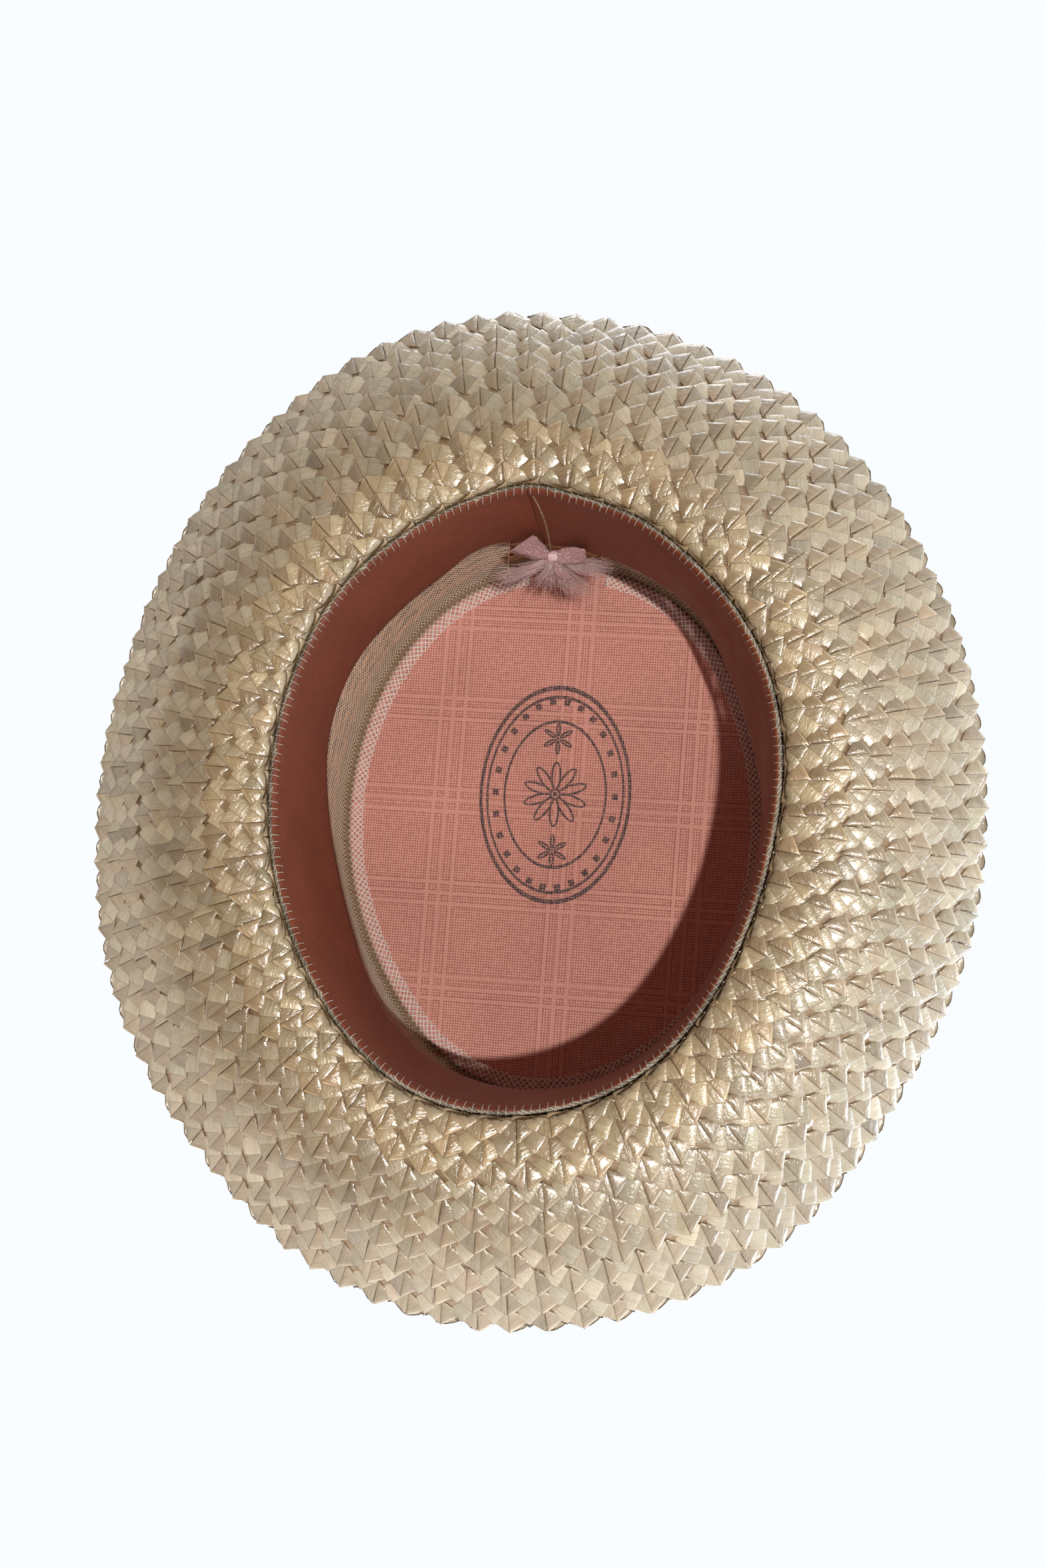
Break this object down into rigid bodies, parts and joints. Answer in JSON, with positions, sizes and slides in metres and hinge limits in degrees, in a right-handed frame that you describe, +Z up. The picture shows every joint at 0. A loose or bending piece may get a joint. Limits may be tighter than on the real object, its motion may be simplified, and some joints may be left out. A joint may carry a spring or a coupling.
{
  "type": "panama hat",
  "caption": "Straw hat of sewn coarse braid with an oval flat crown, upturned sawtooth brim, leather sweatband, net side band and checked cotton tip lining.",
  "frame": {"origin": "middle of the head oval, on the plane that the hat rests on when it stands crown up", "axes": "+Z up through the crown, -Y to the front, +Y to the back where the inside bow is, +X to the wearer's left"},
  "size_m": [0.3039, 0.342, 0.0974],
  "materials": {
    "straw": "glossy flattened straw",
    "sweatband_leather": "smooth with a slight sheen",
    "reed_cord": "worn",
    "stitch_thread": "cotton thread",
    "net": "open cotton net",
    "tip_cotton": "checked basket-weave cotton",
    "print_ink": "matte ink",
    "bow_satin": "satin ribbon",
    "bow_cord": "twisted thread",
    "grosgrain": "ribbed ribbon"
  },
  "bodies": {
    "root": {"tip_braid": "straw", "side_braid": "straw", "roll_row": "straw", "rest_row": "straw", "brim_braid": "straw", "brim_edge_row": "straw", "sweatband": "sweatband_leather", "sweatband_reed": "reed_cord", "reed_whipstitch": "stitch_thread", "net_side_band": "net", "net_edging": "net", "tip_lining": "tip_cotton", "lining_print": "print_ink", "bow_loop_left": "bow_satin", "bow_loop_right": "bow_satin", "bow_knot": "bow_satin", "bow_tail_left": "bow_satin", "bow_tail_right": "bow_satin", "bow_thread": "bow_cord", "hatband": "grosgrain", "hatband_bow": "grosgrain", "hatband_bow_knot": "grosgrain"}
  },
  "joints": []
}
